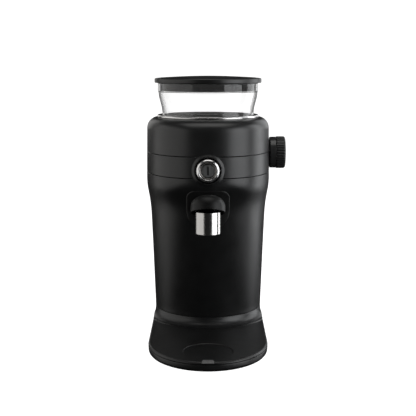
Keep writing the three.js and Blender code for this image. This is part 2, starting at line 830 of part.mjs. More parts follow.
function addBurrs() {
  const ridge = 0.07;
  const bore = rod(shaftBore, coneFootZ - 1, burrTopZ + 1, smallSteps);
  const cone = [
    ridgedRing(coneBottom.radius - 1.5, coneFootZ, 0),
    ridgedRing(coneBottom.radius, coneBottom.z, ridge),
    ridgedRing(coneRadius(coneMiddleZ), coneMiddleZ, ridge),
    ridgedRing(coneTop.radius, coneTop.z, ridge),
    ridgedRing(coneTop.radius - 2.4, burrTopZ, ridge),
  ];
  add('cone_burr', cut(loft(cone, false), bore), steel);
  const mating = (z) => (coneRadius(z) * (1 + ridge) + 0.8) / (1 - ridge);
  const { outer: rim, bottom, top } = ringBurr;
  const inner = [bottom, coneMiddleZ, top].map((z) => ridgedRing(mating(z), z, ridge));
  const outer = [top, bottom].map((z) => ridgedRing(rim, z, 0));
  add('ring_burr', loft([...inner, ...outer], true), steel);
  const lipZ = top + 0.5;
  const carrier = [
    [rim + gap, bottom - 2],
    [rim + 4, bottom - 2],
    [rim + 4, burrTopZ],
    [rim - 7, burrTopZ],
    [rim - 7, lipZ],
    [rim + gap, lipZ],
  ];
  add('burr_carrier', turned(carrier), darkMetal);
  const hexagon = solid(new THREE.CylinderGeometry(6.5, 6.5, 5, 6).rotateX(Math.PI / 2));
  add('burr_nut', cut(hexagon, rod(shaftBore, -4, 1.5, smallSteps)), steel, [0, 0, burrTopZ + 2.9]);
}

function addChamber() {
  const { inner, outer, floorZ, topZ } = chamber;
  const bowl = turned([
    [5, floorZ - 3],
    [outer, floorZ - 3],
    [outer, topZ - 2.5],
    [44, topZ - 2.5],
    [44, topZ],
    [inner, topZ],
    [inner, floorZ],
    [5, floorZ],
  ]);
  const outlet = rodAlongY(chuteWay, -clearIn, -inner / 2, chuteZ, smallSteps);
  add('grind_chamber', cut(bowl, outlet), darkMetal);
  const blades = [0, 90].map((angle) => block([-29, 29], [-1.3, 1.3], [161, 174]).rotate([0, 0, angle]));
  const hub = rod(8, 160, 176.5, smallSteps);
  const paddle = join(rod(29.5, 160, 162), hub, ...blades);
  add('grounds_paddle', cut(paddle, rod(shaftBore, floorZ, coneFootZ, smallSteps)), nylon);
}

// ---- Drive ----

function addGearTrain() {
  const outputReach = ((outputGear.teeth + idlerPinion.teeth) * outputGear.module) / 2;
  const motorReach = ((idlerWheel.teeth + motorGear.teeth) * idlerWheel.module) / 2;
  const idlerY = (outputReach ** 2 - motorReach ** 2 + motorY ** 2) / (2 * motorY);
  const idlerX = Math.sqrt(outputReach ** 2 - idlerY ** 2);
  const toIdler = Math.atan2(idlerY, idlerX);
  const toMotor = Math.atan2(motorY - idlerY, -idlerX);
  const spur = ({ teeth, module, bottom, height }, bore) => (
    gear(teeth, module, bottom, bottom + height, bore)
  );
  const degrees = THREE.MathUtils.radToDeg;

  add('output_gear', spur(outputGear, shaftBore), steel, [0, 0, 0], [0, 0, toIdler]);
  const pinionTurn = toIdler + Math.PI + Math.PI / idlerPinion.teeth - toMotor;
  const pinion = spur(idlerPinion, pinBore).rotate([0, 0, degrees(pinionTurn)]);
  const web = pipe(pinBore, 5, idlerWheel.bottom, idlerPinion.bottom + 1, smallSteps);
  const cluster = join(spur(idlerWheel, pinBore), pinion, web);
  add('idler_gear', cluster, nylon, [idlerX, idlerY, 0], [0, 0, toMotor]);
  add('idler_pin', rod(pinRadius, caseBottomZ + 0.4, 149.8, smallSteps), steel, [idlerX, idlerY, 0]);
  const motorTurn = toMotor + Math.PI + Math.PI / motorGear.teeth;
  add('motor_pinion', spur(motorGear, pinBore), brass, [0, motorY, 0], [0, 0, motorTurn]);
  add('motor_shaft', rod(pinRadius, motor.top - 6, 138.5, smallSteps), steel, [0, motorY, 0]);
  addGearCase(idlerX, idlerY);
}

function addGearCase(idlerX, idlerY) {
  const { x, y } = caseCentre;
  const coverZ = caseTopZ - 2.5;
  const skin = 2.5;
  const hollow = rod(caseRadius - skin, caseBottomZ + skin, coverZ + 1);
  const tub = cut(rod(caseRadius, caseBottomZ, coverZ - gap), hollow);
  const way = (radius, steps) => rod(radius, caseBottomZ - 6, caseBottomZ + 6, steps);
  const ways = [
    way(lowerBearingRadius + gap, bearingSteps),
    way(pinBore, smallSteps).translate([idlerX, idlerY, 0]),
    way(2 * pinRadius, smallSteps).translate([0, motorY, 0]),
  ];
  add('gear_case', cut(tub.translate([x, y, 0]), ...ways), darkMetal);
  const cover = rod(caseRadius, coverZ, caseTopZ).translate([x, y, 0]);
  const bearingWay = rod(upperBearingRadius + gap, coverZ - 1, caseTopZ + 1, bearingSteps);
  add('gear_cover', cut(cover, bearingWay), darkMetal);
  const bearing = (radius, bottom, top) => pipe(shaftBore, radius, bottom, top, bearingSteps);
  add('upper_bearing', bearing(upperBearingRadius, coverZ - 0.9, caseTopZ + 1.6), steel);
  add('lower_bearing', bearing(lowerBearingRadius, caseBottomZ + 0.4, caseBottomZ + 4.4), steel);
  add('drive_shaft', rod(shaftRadius, caseBottomZ + 0.6, burrTopZ + 3.9, smallSteps), steel);
}

function addMotor() {
  const { radius, bottom, top } = motor;
  const can = turned([
    [0, bottom],
    [radius - 3, bottom],
    [radius, bottom + 3],
    [radius, top - 3],
    [radius - 3, top],
    [pinRadius + 0.4, top],
    [pinRadius + 0.4, top - 7],
    [0, top - 7],
  ]);
  add('motor_body', can, steel, [0, motorY, 0]);
}

// ---- Electrics ----

function addElectrics() {
  const board = block([-28, 28], [61, 62.6], [48, 104]);
  const parts = [
    block([-22, -8], [62, 71], [54, 70]),
    block([4, 22], [62, 69], [60, 78]),
    block([-20, -12], [62, 67], [84, 96]),
  ];
  add('control_board', join(board, ...parts), boardGreen);
  const gland = turned([
    [3.6, -8],
    [glandNeck, -8],
    [glandNeck, gap],
    [9, gap],
    [8.4, 1.8],
    [4.4, 1.8],
    [3.6, 1.2],
  ], bearingSteps);
  add('cord_gland', gland, rubberBlack, [0, backY, glandZ], [-Math.PI / 2, 0, 0]);
}

addMainHousing();
addMiddleBand();
addTopShell();
addBase();
addTray();
addUnderside();
addChuteCover();
addSpout();
addButton();
addHopper();
addThroat();
addHopperSeat();
addLid();
addKnob();
addAdjuster();
addBurrs();
addChamber();
addGearTrain();
addMotor();
addElectrics();

// Centre the footprint: the knob on one side and the gland at the back are its outermost pieces.
const footprint = new THREE.Box3().setFromObject(grinder);
const middle = footprint.getCenter(new THREE.Vector3());
grinder.position.set(-middle.x, -middle.y, 0);
grinder.updateMatrixWorld(true);

export default grinder;
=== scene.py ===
"""The looks of a burr coffee grinder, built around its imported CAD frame.

Lengths are millimetres about the burr axis (x right, y back, z up) until a mesh is made,
and metres after that. The front faces -Y and the grind knob is on +X.
"""
import json
import math

import bmesh
import bpy
from mathutils import Matrix, Vector


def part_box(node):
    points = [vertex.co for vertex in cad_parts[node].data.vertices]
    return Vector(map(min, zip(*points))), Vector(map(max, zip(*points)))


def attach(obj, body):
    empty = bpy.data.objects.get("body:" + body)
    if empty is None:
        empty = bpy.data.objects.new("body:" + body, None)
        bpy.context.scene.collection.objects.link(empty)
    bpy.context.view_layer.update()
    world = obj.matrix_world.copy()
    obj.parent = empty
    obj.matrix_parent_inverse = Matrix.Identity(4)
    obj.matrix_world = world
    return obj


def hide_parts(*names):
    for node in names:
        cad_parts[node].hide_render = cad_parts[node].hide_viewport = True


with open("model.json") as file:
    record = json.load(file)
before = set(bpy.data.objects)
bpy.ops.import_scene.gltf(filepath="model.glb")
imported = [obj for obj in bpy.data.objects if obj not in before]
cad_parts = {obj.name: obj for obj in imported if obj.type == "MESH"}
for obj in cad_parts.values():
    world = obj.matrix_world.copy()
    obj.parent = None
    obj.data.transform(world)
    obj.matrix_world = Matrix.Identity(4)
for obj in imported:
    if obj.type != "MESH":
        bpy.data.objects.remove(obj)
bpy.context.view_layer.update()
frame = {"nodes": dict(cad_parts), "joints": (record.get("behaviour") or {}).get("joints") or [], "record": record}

MM = 0.001
JOINTS = {joint["name"]: joint for joint in frame["joints"]}
AXIS = Vector((*JOINTS["burr_spin"]["pos_m"][:2], 0))

# ---- Driving dimensions ----

GAP = 0.3  # kept between neighbouring pieces
SEAM = 0.4  # open line between two outer shells
LIP = 0.55  # rounding of a shell's edge at a seam
WALL = 2.6
PLAN_STEPS = 144
TURN_STEPS = 128
CORNER_STEPS = 4
ROW_HEIGHT = 3.5  # about the distance between a shell's rings

BACK_Y = 80
# The body's plan at some heights: z, half width, foremost y, y of its widest line,
# and the power of its two half ovals.
BODY_SECTIONS = [
    (22.9, 66.2, -35, 33.5, 2.0),
    (100, 67.8, -61, 18, 2.1),
    (148, 68.9, -77.2, 8.5, 2.2),
    (160, 69.9, -81.3, 6.5, 2.2),
    (170, 71.2, -85.3, 4.5, 2.25),
    (176, 72.2, -88.8, 3, 2.3),
    (182, 73, -93, 1.5, 2.3),
    (186, 73.1, -95.8, 0.5, 2.3),
    (190, 73.1, -97, 0, 2.3),
    (248.8, 72.3, -96.6, 0, 2.3),
]
LOWER_SEAM_Z = 198
UPPER_SEAM_Z = 222
DECK_Z = 260.8
SHOULDER = 12

SLAB = {
    "half": 67.7,
    "front": -169.5,
    "front_centre": -93,
    "back_centre": 34,
    "back": 80.5,
    "power": 2,
}
SLAB_BOTTOM_Z = 1.5
RIM_TOP_Z = 9.4
TRAY_TOP_Z = 12.6
TRAY_CHAMFER = 1.5
FOOT_Z = 22.6
TRAY_SEAM_RADIUS = 78.5
TRAY_SEAM_Y = 33.5
CUP_RECESS_RADIUS = 27.7
CUP_RECESS_DEPTH = 0.8
TAB_HALF = 6.6
TAB_BACK_HALF = 5.2
TAB_REAR_Y = SLAB["front"] + 7.5
TAB_STAND = 0.2  # height above the tray

SPOUT_Y = -132
CHUTE_Z = 167
CHUTE_WAY = 9.6
TUBE_RADIUS = 13.6
TUBE_WALL = 1.2
TUBE_BOTTOM_Z = 144
TUBE_TOP_Z = 168
HOOD_RADIUS = 18.7
HOOD_WALL = 2.1
HOOD_HEIGHT = 18
HOOD_DOME = 12
HOOD_TILT = math.radians(22)
HOOD_MOUTH_Z = 166

NECK_RADIUS = 54.4
HOPPER_WALL = 2.2
HOPPER_TOP_Z = 300.5
COLLAR_RADIUS = 59.6
COLLAR_Z = 291
THROAT_RADIUS = 22.2
THROAT_BOTTOM_Z = 226.5
FLOOR_EDGE_Z = 254.8
GUARD_BOTTOM_Z = 229
GUARD_TOP_Z = 232
LID_RADIUS = 63.5
LID_UNDER_Z = 301.2
LID_RIM = 5.3

BUTTON_Z = 207.2
BUTTON_FACE_Y = -97
BEZEL_RADIUS = 13
BEZEL_INNER = 9.8
BUTTON_RADIUS = 7.1
BOSS_MOUTH = 14.3
BOSS_RADIUS = 18.6

KNOB_Z = 218.2
KNOB_RADIUS = 19.1
KNOB_START_X = 73.8
KNOB_END_X = 92.4
KNOB_SKIRT_END = 81
KNOB_HUB_RADIUS = 14
KNOB_RIBS = 36
KNOB_STEPS = KNOB_RIBS * 12
RIB_DEPTH = 0.95

GLAND_Z = 36

# The camera, and the white that it sees around the grinder.
CAMERA_PLACE = (0, -1080, 325)
CAMERA_TILT = math.radians(9.2)
CAMERA_LENS = 77.88
BACKDROP_WHITE = 1.15


# ---- Placing ----


def spot(x, y, z):
    """A point given in millimetres about the burr axis, in the row frame in metres."""
    return Vector((x, y, z)) * MM + AXIS


def upright(x, y, z):
    return (x, y, z)


def facing_front(x, y, z):
    """A profile turned about the button's axis: its z points to the front."""
    return (x, BUTTON_FACE_Y - z, BUTTON_Z + y)


def facing_right(x, y, z):
    """A profile turned about the knob's axis: its z points to +X."""
    return (z, y, KNOB_Z - x)


def facing_back(x, y, z):
    """A profile turned about the cord gland's axis: its z points to the back."""
    return (x, BACK_Y + z, GLAND_Z + y)


def along_x(x, y, z):
    return (z, x, y)


def along_y(x, y, z):
    return (x, z, y)


# ---- Meshes ----


def make_object(name, points, faces):
    """A closed mesh object from points in millimetres, with shared corners merged.

    Its faces point out, and edges left without a face are deleted.
    """
    mesh = bpy.data.meshes.new(name)
    mesh.from_pydata([spot(*point) for point in points], [], faces)
    work = bmesh.new()
    work.from_mesh(mesh)
    bmesh.ops.remove_doubles(work, verts=work.verts, dist=1e-7)
    bmesh.ops.recalc_face_normals(work, faces=work.faces)
    loose = [edge for edge in work.edges if not edge.link_faces]
    bmesh.ops.delete(work, geom=loose, context="EDGES")
    work.to_mesh(mesh)
    work.free()
    obj = bpy.data.objects.new(name, mesh)
    bpy.context.scene.collection.objects.link(obj)
    return obj


def skin(rings, looped):
    """Points and faces of a skin through rings of equal length, with its ends joined or capped."""
    count = len(rings[0])
    points = [point for ring in rings for point in ring]
    faces = []
    for row in range(len(rings) if looped else len(rings) - 1):
        here = row * count
        there = (row + 1) % len(rings) * count
        for i in range(count):
            after = (i + 1) % count
            faces.append((here + i, here + after, there + after, there + i))
    if not looped:
        faces.append(tuple(range(count)))
        faces.append(tuple(range(len(points) - count, len(points))))
    return points, faces


def loft(name, rings, looped=False):
    return make_object(name, *skin(rings, looped))


def straight_profile(inner, outer, low, high):
    """The profile of a plain ring, or of a plain rod where inner is 0."""
    return [(inner, low), (outer, low), (outer, high), (inner, high)]


def rounded(profile, radius):
    """A closed (radius, z) profile with each corner off the axis replaced by a curve."""
    soft = []
    for i, corner in enumerate(profile):
        corner = Vector(corner)
        before = Vector(profile[i - 1])
        after = Vector(profile[(i + 1) % len(profile)])
        if corner.x == 0:
            soft.append(tuple(corner))
            continue
        back = before - corner
        on = after - corner
        reach = min(radius, 0.45 * back.length, 0.45 * on.length)
        start = corner + back.normalized() * reach
        end = corner + on.normalized() * reach
        for step in range(CORNER_STEPS + 1):
            share = step / CORNER_STEPS
            soft.append(tuple(start.lerp(corner, share).lerp(corner.lerp(end, share), share)))
    return soft


def turned(name, profile, radius, place=upright, centre=(0, 0, 0), steps=TURN_STEPS):
    """A turned piece: a closed profile, or one that starts and ends on the axis."""
    rings = []
    for r, z in rounded(profile, radius):
        ring = []
        for i in range(steps):
            angle = 2 * math.pi * i / steps
            x, y, height = place(r * math.cos(angle), r * math.sin(angle), z)
            ring.append((x + centre[0], y + centre[1], height + centre[2]))
        rings.append(ring)
    return loft(name, rings, looped=True)


def cut(obj, *tools):
    """Takes the tools' solids out of obj and deletes them."""
    combine(obj, "DIFFERENCE", tools)


def join(obj, *others):
    combine(obj, "UNION", others)


def combine(obj, operation, others):
    for other in others:
        modifier = obj.modifiers.new(operation, "BOOLEAN")
        modifier.operation = operation
        modifier.solver = "EXACT"
        modifier.object = other
    apply_modifiers(obj)
    for other in others:
        bpy.data.objects.remove(other)


def apply_modifiers(obj):
    bpy.context.view_layer.update()
    shape = obj.evaluated_get(bpy.context.evaluated_depsgraph_get())
    mesh = bpy.data.meshes.new_from_object(shape)
    obj.modifiers.clear()
    obj.data = mesh


def rod(radius, low, high, place=upright, centre=(0, 0, 0)):
    """A plain rod, as a cutting tool."""
    return turned("tool", straight_profile(0, radius, low, high), 0, place, centre, 64)


def rod_along_y(radius, low, high, x, z):
    return rod(radius, low, high, along_y, (x, 0, z))


def dress(obj, material, body, slot, *nodes, sharp=40):
    """Shades a new piece, gives it its material, ties it to its CAD body and hides the CAD nodes it stands for;
    slot is not used.
    """
    obj.data.materials.clear()
    obj.data.materials.append(material)
    obj.data.shade_smooth()
    obj.data.set_sharp_from_angle(angle=math.radians(sharp))
    normals = obj.modifiers.new("normals", "WEIGHTED_NORMAL")
    normals.keep_sharp = True
    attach(obj, body)
    if nodes:
        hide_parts(*nodes)


# ---- Outlines ----


def plan_outline(plan, inset=0):
    """A closed outline: the back half oval, then the front one, joined by straight sides."""
    outline = []
    for i in range(PLAN_STEPS):
        angle = 2 * math.pi * (i + 0.5) / PLAN_STEPS
        cosine, sine = math.cos(angle), math.sin(angle)
        centre = plan["front_centre"] if sine < 0 else plan["back_centre"]
        reach = centre - plan["front"] if sine < 0 else plan["back"] - centre
        bulge = [math.copysign(abs(value) ** (2 / plan["power"]), value) for value in (cosine, sine)]
        outline.append(((plan["half"] - inset) * bulge[0], centre + (reach - inset) * bulge[1]))
    return outline


def section_at(z):
    """The body's section at a height, on straight lines between the listed ones."""
    low, high = BODY_SECTIONS[0], BODY_SECTIONS[-1]
    z = min(max(z, low[0]), high[0])
    for lower, upper in zip(BODY_SECTIONS, BODY_SECTIONS[1:]):
        if lower[0] <= z <= upper[0]:
            low, high = lower, upper
            break
    share = (z - low[0]) / (high[0] - low[0])
    return [a + (b - a) * share for a, b in zip(low, high)]


def body_plan(z):
    """The body's plan at a height, with the corners between its sections eased."""
    near = [section_at(z + offset) for offset in (-5, -2.5, 0, 2.5, 5)]
    half, front, widest, power = [sum(values) / len(near) for values in list(zip(*near))[1:]]
    return {
        "half": half,
        "front": front,
        "front_centre": widest,
        "back_centre": widest,
        "back": BACK_Y,
        "power": power,
    }


def body_front(x, z):
    """The y of the body's front surface at x and z."""
    plan = body_plan(z)
    share = 1 - abs(x / plan["half"]) ** plan["power"]
    return plan["front_centre"] - (plan["front_centre"] - plan["front"]) * share ** (1 / plan["power"])


def plan_ring(plan, z, inset=0):
    return [(x, y, z) for x, y in plan_outline(plan, inset)]


def circle_plan(radius):
    return {
        "half": radius,
        "front": -radius,
        "front_centre": 0,
        "back_centre": 0,
        "back": radius,
        "power": 2,
    }


def quarter(steps=4):
    """The steps of a quarter turn, each as (sine, cosine)."""
    angles = [math.pi / 2 * i / steps for i in range(steps + 1)]
    return [(math.sin(angle), math.cos(angle)) for angle in angles]


def body_shell_rings(bottom, top):
    """Outer rings from bottom to top, with both edges rounded, then inner rings back down."""
    low = [(bottom + LIP * (1 - cosine), LIP * (1 - sine)) for sine, cosine in quarter()]
    high = [(top - LIP * (1 - sine), LIP * (1 - cosine)) for sine, cosine in quarter()]
    rows = max(2, round((top - bottom - 2 * LIP) / ROW_HEIGHT))
    between = [(bottom + LIP + (top - bottom - 2 * LIP) * i / rows, 0) for i in range(1, rows)]
    outer = [plan_ring(body_plan(z), z, inset) for z, inset in low + between + high]
    inner = [plan_ring(body_plan(z), z, WALL) for z in (top, (top + bottom) / 2, bottom)]
    return outer + inner


# ---- Materials ----


def new_material(name):
    material = bpy.data.materials.new(name)
    material.use_nodes = True
    nodes = material.node_tree.nodes
    return material, nodes, material.node_tree.links, nodes["Principled BSDF"]


def noise(nodes, links, scale, detail=3, stretch=(1, 1, 1)):
    """Noise over the piece's own coordinates, in metres."""
    place = nodes.new("ShaderNodeTexCoord")
    mapping = nodes.new("ShaderNodeMapping")
    mapping.inputs["Scale"].default_value = stretch
    texture = nodes.new("ShaderNodeTexNoise")
    texture.inputs["Scale"].default_value = scale
    texture.inputs["Detail"].default_value = detail
    links.new(place.outputs["Object"], mapping.inputs["Vector"])
    links.new(mapping.outputs["Vector"], texture.inputs["Vector"])
    return texture


def spread(nodes, links, texture, low, high):
    """The noise's middle range spread between two values."""
    ramp = nodes.new("ShaderNodeMapRange")
    ramp.inputs["From Min"].default_value = 0.3
    ramp.inputs["From Max"].default_value = 0.7
    ramp.inputs["To Min"].default_value = low
    ramp.inputs["To Max"].default_value = high
    links.new(texture.outputs["Fac"], ramp.inputs["Value"])
    return ramp.outputs["Result"]


def tint(nodes, links, texture, dark, light):
    ramp = nodes.new("ShaderNodeValToRGB")
    ramp.color_ramp.elements[0].position = 0.3
    ramp.color_ramp.elements[0].color = (*dark, 1)
    ramp.color_ramp.elements[1].position = 0.7
    ramp.color_ramp.elements[1].color = (*light, 1)
    links.new(texture.outputs["Fac"], ramp.inputs["Fac"])
    return ramp.outputs["Color"]


def relief(nodes, links, shader, texture, distance):
    bump = nodes.new("ShaderNodeBump")
    bump.inputs["Strength"].default_value = 1
    bump.inputs["Distance"].default_value = distance
    links.new(texture.outputs["Fac"], bump.inputs["Height"])
    links.new(bump.outputs["Normal"], shader.inputs["Normal"])


def moulded(name, dark, light, roughness, grain=0.00001, specular=0.5):
    """Moulded plastic: a fine spark-eroded grain and a slightly uneven sheen."""
    material, nodes, links, shader = new_material(name)
    shader.inputs["Specular IOR Level"].default_value = specular
    fine = noise(nodes, links, 1600, 4)
    broad = noise(nodes, links, 55, 2)
    links.new(tint(nodes, links, broad, dark, light), shader.inputs["Base Color"])
    sheen = spread(nodes, links, broad, roughness - 0.02, roughness + 0.03)
    links.new(sheen, shader.inputs["Roughness"])
    relief(nodes, links, shader, fine, grain)
    return material


def metal(name, dark, light, roughness, stretch=(1, 1, 1), scale=900, lines=0.000002):
    """Bare metal with fine machining lines along the direction that stretch is smallest in."""
    material, nodes, links, shader = new_material(name)
    shader.inputs["Metallic"].default_value = 1
    fine = noise(nodes, links, scale, 3, stretch)
    links.new(tint(nodes, links, fine, dark, light), shader.inputs["Base Color"])
    sheen = spread(nodes, links, fine, roughness * 0.8, roughness * 1.25)
    links.new(sheen, shader.inputs["Roughness"])
    relief(nodes, links, shader, fine, lines)
    return material


def clear_plastic(name):
    """Clear plastic that greys where it is seen edge on."""
    material, nodes, links, shader = new_material(name)
    facing = nodes.new("ShaderNodeLayerWeight")
    ramp = nodes.new("ShaderNodeValToRGB")
    ramp.color_ramp.elements[0].position = 0.8
    ramp.color_ramp.elements[0].color = (1, 1, 1, 1)
    ramp.color_ramp.elements[1].position = 0.97
    ramp.color_ramp.elements[1].color = (0.86, 0.86, 0.87, 1)
    links.new(facing.outputs["Facing"], ramp.inputs["Fac"])
    links.new(ramp.outputs["Color"], shader.inputs["Base Color"])
    shader.inputs["Transmission Weight"].default_value = 1
    shader.inputs["IOR"].default_value = 1.46
    haze = noise(nodes, links, 40, 2)
    links.new(spread(nodes, links, haze, 0.0, 0.015), shader.inputs["Roughness"])
    return material


def grey(value, warmth=0.0):
    return (value * (1 + warmth), value, value * (1 - warmth))


SHELL = moulded("satin_black", grey(0.010, -0.02), grey(0.013, -0.02), 0.36)
TRAY = moulded("tray_black", grey(0.004, -0.02), grey(0.0055, -0.02), 0.4)
TRIM = moulded("matt_black", grey(0.008), grey(0.011), 0.45)
# Painted light: the knob's black is several times lighter than the trim's black. It stands in for the light on its
# ribs and skirt.
KNOB_PAINTED_LIGHT = moulded("knob_black_painted_light", grey(0.03), grey(0.036), 0.27)
# Painted shade: the hood's black is darker than the trim's black. It stands in for the shade on the top of the
# dome.
HOOD_PAINTED_SHADE = moulded("hood_black_painted_shade", grey(0.003), grey(0.004), 0.42, specular=0.25)
LID = moulded("lid_black", grey(0.009, -0.02), grey(0.012, -0.02), 0.36)
PLUG = moulded("plug_black", grey(0.005), grey(0.006), 0.4, specular=0.3)
RUBBER = moulded("rubber_black", grey(0.010), grey(0.016), 0.7, 0.00003)
TAB = moulded("tab_grey", grey(0.105), grey(0.12), 0.5)
NYLON = moulded("nylon", (0.60, 0.57, 0.48), (0.68, 0.64, 0.55), 0.5)
BOARD = moulded("board_green", (0.015, 0.08, 0.035), (0.02, 0.10, 0.045), 0.4)
MARK = moulded("mark_black", grey(0.003), grey(0.004), 0.6)
CHROME = metal("satin_chrome", grey(0.48, 0.02), grey(0.54, 0.02), 0.2, (1, 1, 0.02))
BEZEL = metal("bezel_chrome", grey(0.72, 0.01), grey(0.80, 0.01), 0.24)
COLLAR = metal("dark_collar", grey(0.30, 0.05), grey(0.38, 0.05), 0.4)
BUTTON = metal("brushed_button", grey(0.22), grey(0.42), 0.45, (1, 1, 0.02), 1500)
STEEL = metal("steel", grey(0.42), grey(0.52), 0.28)
CAST = metal("cast_alloy", grey(0.20), grey(0.30), 0.5, (1, 1, 1), 500, 0.00002)
BRASS = metal("brass", (0.50, 0.36, 0.15), (0.60, 0.44, 0.20), 0.3)
CLEAR = clear_plastic("clear_plastic")

SLOT_MATERIALS = {
    "shell_black": SHELL,
    "trim_black": TRIM,
    "rubber_black": RUBBER,
    "tab_grey": TAB,
    "clear_plastic": CLEAR,
    "chrome_trim": CHROME,
    "dark_metal": COLLAR,
    "cast_alloy": CAST,
    "steel": STEEL,
    "brass": BRASS,
    "nylon": NYLON,
    "board_green": BOARD,
}


def dress_cad_nodes():
    """Every CAD node gets the procedural material of its slot."""
    slots = {part["node"]: part["material_slot"] for part in frame["record"]["subparts"]}
    for name, obj in frame["nodes"].items():
        obj.data.materials.clear()
        obj.data.materials.append(SLOT_MATERIALS[slots[name]])


# ---- Outer shells ----


def button_way():
    """The hole through the head's front for the button, as a cutting tool."""
    return rod_along_y(BOSS_MOUTH, -130, -60, 0, BUTTON_Z)


def make_main_housing():
    shell = loft("column_shell", body_shell_rings(FOOT_Z + GAP, LOWER_SEAM_Z - SEAM / 2), looped=True)
    cut(shell, button_way(), rod_along_y(CHUTE_WAY, -120, -50, 0, CHUTE_Z))
    dress(shell, SHELL, "housing", "shell_black", "main_housing")


def make_middle_band():
    rings = body_shell_rings(LOWER_SEAM_Z + SEAM / 2, UPPER_SEAM_Z - SEAM / 2)
    band = loft("head_band", rings, looped=True)
    shaft_way = rod(3.2, 50, 100, along_x, (0, 0, KNOB_Z))
    cut(band, button_way(), shaft_way)
    dress(band, SHELL, "housing", "shell_black", "middle_band")


def make_top_shell():
    bottom = UPPER_SEAM_Z + SEAM / 2
    shoulder_z = DECK_Z - SHOULDER
    inner_radius = SHOULDER - WALL
    mouth = NECK_RADIUS + 2.1
    rings = []
    for sine, cosine in quarter():
        rings.append(plan_ring(body_plan(bottom), bottom + LIP * (1 - cosine), LIP * (1 - sine)))
    rows = 7
    for i in range(1, rows):
        z = bottom + LIP + (shoulder_z - bottom - LIP) * i / rows
        rings.append(plan_ring(body_plan(z), z))
    shoulder_plan = body_plan(shoulder_z)
    for sine, cosine in quarter(14):
        rings.append(plan_ring(shoulder_plan, shoulder_z + SHOULDER * sine, SHOULDER * (1 - cosine)))
    rings.append(plan_ring(circle_plan(mouth + LIP), DECK_Z))
    rings.append(plan_ring(circle_plan(mouth), DECK_Z - LIP))
    rings.append(plan_ring(circle_plan(mouth), DECK_Z - WALL))
    for sine, cosine in reversed(quarter(6)):
        z = shoulder_z + inner_radius * sine
        rings.append(plan_ring(shoulder_plan, z, SHOULDER - inner_radius * cosine))
    rings.append(plan_ring(body_plan(bottom), bottom, WALL))
    dress(loft("head_top", rings, looped=True), SHELL, "housing", "shell_black", "top_shell")


def make_button_boss():
    """The soft lip round the button, standing on the head's curved front."""
    lip = [
        (BOSS_RADIUS, -0.25),
        (18.2, -0.02),
        (17.6, 0.12),
        (17.0, 0.42),
        (16.4, 0.86),
        (15.9, 1.2),
        (15.4, 1.38),
        (15.0, 1.36),
        (14.6, 1.1),
        (14.35, 0.6),
        (BOSS_MOUTH, 0),
        (BOSS_MOUTH, -6),
        (BOSS_RADIUS, -6),
    ]
    rings = []
    for radius, stand in lip:
        ring = []
        for i in range(TURN_STEPS):
            angle = 2 * math.pi * i / TURN_STEPS
            x, z = radius * math.cos(angle), BUTTON_Z + radius * math.sin(angle)
            ring.append((x, body_front(x, z) - stand, z))
        rings.append(ring)
    dress(loft("button_boss", rings, looped=True), SHELL, "housing", "shell_black", sharp=60)


# ---- Base and tray ----


def inward(outline, distance):
    """The outline moved inwards by a distance, keeping its corners."""
    moved = []
    count = len(outline)
    for i in range(count):
        here = Vector(outline[i])
        before = (here - Vector(outline[i - 1])).normalized()
        after = (Vector(outline[(i + 1) % count]) - here).normalized()
        normals = [Vector((-line.y, line.x)) for line in (before, after)]
        middle = (normals[0] + normals[1]).normalized()
        moved.append(tuple(here + middle * distance / max(0.5, middle.dot(normals[0]))))
    return moved


def plate(name, outline, edge):
    """A plate from an outline that runs anticlockwise, through (inset, z) pairs from bottom to top."""
    rings = [[(x, y, z) for x, y in inward(outline, inset)] for inset, z in edge]
    return loft(name, rings)


def split_outline(front, growth):
    """The slab's outline in front of the tray's seam, or behind it, closed by the seam's arc."""
    radius = TRAY_SEAM_RADIUS + growth
    side_y = TRAY_SEAM_Y - math.sqrt(radius**2 - SLAB["half"] ** 2)
    kept = [point for point in plan_outline(SLAB) if (point[1] < side_y) == front]
    start = math.atan2(side_y - TRAY_SEAM_Y, -SLAB["half"])
    end = math.atan2(side_y - TRAY_SEAM_Y, SLAB["half"])
    steps = 64
    arc = []
    # Two points are left out beside each sharp corner, where the inset rings would fold.
    for i in (0, *range(3, steps - 2), steps):
        angle = start + (end - start) * i / steps
        arc.append((radius * math.cos(angle), TRAY_SEAM_Y + radius * math.sin(angle)))
    if front:
        return kept + arc[::-1]
    return arc + kept


def tray_edge(bottom):
    """(inset, z) pairs of the slab's top layer, its upper edge chamfered and eased."""
    softness = 0.35
    return [
        (softness, bottom),
        (0, bottom + softness),
        (0, TRAY_TOP_Z - TRAY_CHAMFER - softness),
        (0.12, TRAY_TOP_Z - TRAY_CHAMFER + softness * 0.4),
        (TRAY_CHAMFER - 0.45, TRAY_TOP_Z - 0.42),
        (TRAY_CHAMFER - 0.1, TRAY_TOP_Z - 0.12),
        (TRAY_CHAMFER + 0.35, TRAY_TOP_Z),
    ]


def make_base():
    edge = [
        (2.8, SLAB_BOTTOM_Z),
        (1.5, SLAB_BOTTOM_Z + 0.4),
        (0.6, SLAB_BOTTOM_Z + 1.6),
        (0.15, SLAB_BOTTOM_Z + 3.4),
        (0, RIM_TOP_Z - 1),
        (0.12, RIM_TOP_Z - 0.3),
        (0.5, RIM_TOP_Z),
    ]
    slab = plate("base_slab", plan_outline(SLAB), edge)
    cavity = plate("tool", plan_outline(SLAB), [(3.4, -1), (3.4, RIM_TOP_Z - WALL)])
    cut(slab, cavity)
    dress(slab, SHELL, "housing", "shell_black", "base")


